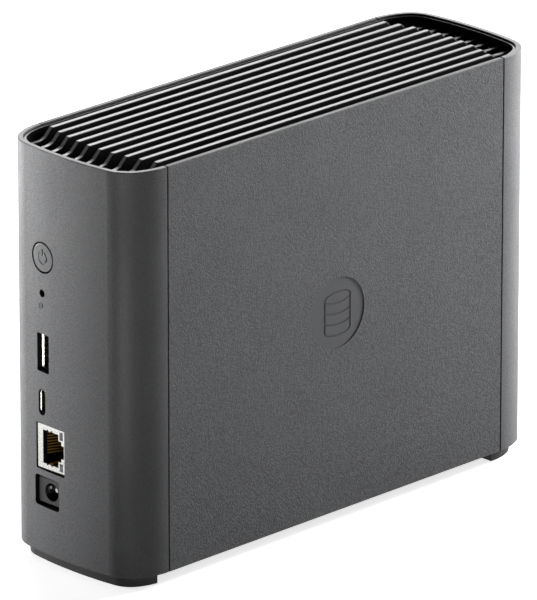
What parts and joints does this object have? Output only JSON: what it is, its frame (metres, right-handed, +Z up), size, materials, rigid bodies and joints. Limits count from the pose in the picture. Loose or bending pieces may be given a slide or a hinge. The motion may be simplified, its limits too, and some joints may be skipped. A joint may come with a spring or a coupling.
{
  "type": "nas enclosure",
  "caption": "Tall narrow network storage box with rounded ends, open ribbed top grille, side panel badge, end-mounted ports, power button, reset switch, feet and a hard disk inside.",
  "frame": {"origin": "bottom centre of the box, on the surface that the feet stand on", "axes": "+Z up, +Y towards the end with the ports, the badge on the -X panel"},
  "size_m": [0.0626, 0.1962, 0.148],
  "materials": {
    "shell_plastic": "moulded, fine grain",
    "panel_plastic": "moulded, coarser grain",
    "grille_plastic": "satin",
    "inner_plastic": "black, satin",
    "foot_rubber": "satin",
    "damper_rubber": "matte",
    "screw_steel": "black zinc",
    "button_plastic": "fine grain",
    "switch_plastic": "matte",
    "circuit_board": "solder mask",
    "clear_plastic": "frosted clear",
    "port_steel": "nickel plated",
    "port_plastic": "black",
    "gold_contacts": "gold plated",
    "chip_black": "moulded",
    "thermal_silicone": "soft",
    "sink_aluminium": "anodised",
    "pin_plastic": "nylon",
    "can_aluminium": "drawn",
    "cast_aluminium": "die cast",
    "disk_steel": "stamped",
    "platter_mirror": "polished",
    "magnet_steel": "nickel plated"
  },
  "bodies": {
    "casing": {"rear_shell": "shell_plastic", "front_shell": "shell_plastic", "left_side_panel": "panel_plastic", "right_side_panel": "panel_plastic", "top_grille": "grille_plastic", "inner_frame": "inner_plastic", "base_plate": "inner_plastic", "rear_foot": "foot_rubber", "front_foot": "foot_rubber", "drive_dampers": "damper_rubber", "case_screws": "screw_steel", "frame_screws": "screw_steel", "board_screws": "screw_steel", "drive_screws": "screw_steel", "drive_cover_screws": "screw_steel", "power_switch_body": "switch_plastic", "reset_switch_body": "switch_plastic", "main_board": "circuit_board", "drive_link_board": "circuit_board", "drive_board": "circuit_board", "status_light_board": "circuit_board", "status_light_pipe": "clear_plastic", "status_led": "clear_plastic", "lan_jack_lights": "clear_plastic", "usb_a_shell": "port_steel", "usb_c_shell": "port_steel", "lan_jack_shield": "port_steel", "power_jack_pin": "port_steel", "power_jack_spring": "port_steel", "usb_a_tongue": "port_plastic", "usb_c_tongue": "port_plastic", "lan_jack_housing": "port_plastic", "power_jack_housing": "port_plastic", "link_connector": "port_plastic", "drive_socket": "port_plastic", "drive_connector": "port_plastic", "usb_a_contacts": "gold_contacts", "usb_c_contacts": "gold_contacts", "lan_jack_contacts": "gold_contacts", "processor": "chip_black", "memory_chips": "chip_black", "power_inductors": "chip_black", "network_transformer": "chip_black", "thermal_pad": "thermal_silicone", "processor_heatsink": "sink_aluminium", "heatsink_pins": "pin_plastic", "capacitors": "can_aluminium", "drive_casting": "cast_aluminium", "drive_cover": "disk_steel", "drive_pivot_post": "disk_steel", "drive_magnets": "magnet_steel"},
    "power_button": {"power_button": "button_plastic"},
    "power_switch_plunger": {"power_switch_plunger": "switch_plastic"},
    "reset_switch_plunger": {"reset_switch_plunger": "switch_plastic"},
    "disk_spindle": {"drive_hub": "cast_aluminium", "drive_platters": "platter_mirror", "platter_spacer": "disk_steel", "platter_clamp": "disk_steel"},
    "head_arm": {"drive_head_arm": "cast_aluminium"}
  },
  "joints": [
    {"name": "power_button_press", "type": "slide", "parent": "casing", "child": "power_button", "axis": [0, -1, 0], "range_m": [0, 0.0005], "stiffness_N_per_m": 2000},
    {"name": "power_switch_travel", "type": "slide", "parent": "casing", "child": "power_switch_plunger", "axis": [0, -1, 0], "range_m": [0, 0.0005]},
    {"name": "reset_switch_press", "type": "slide", "parent": "casing", "child": "reset_switch_plunger", "axis": [0, -1, 0], "range_m": [0, 0.00025], "stiffness_N_per_m": 2000},
    {"name": "disk_spin", "type": "hinge", "parent": "casing", "child": "disk_spindle", "pos_m": [-0.0145, -0.0285, 0.0668], "axis": [1, 0, 0], "continuous": true},
    {"name": "head_arm_swing", "type": "hinge", "parent": "casing", "child": "head_arm", "pos_m": [-0.0145, 0.028, 0.042], "axis": [1, 0, 0], "range_deg": [0, 32]}
  ],
  "couplings": [
    {"joint": "power_switch_travel", "follows": "power_button_press", "ratio": 1}
  ]
}
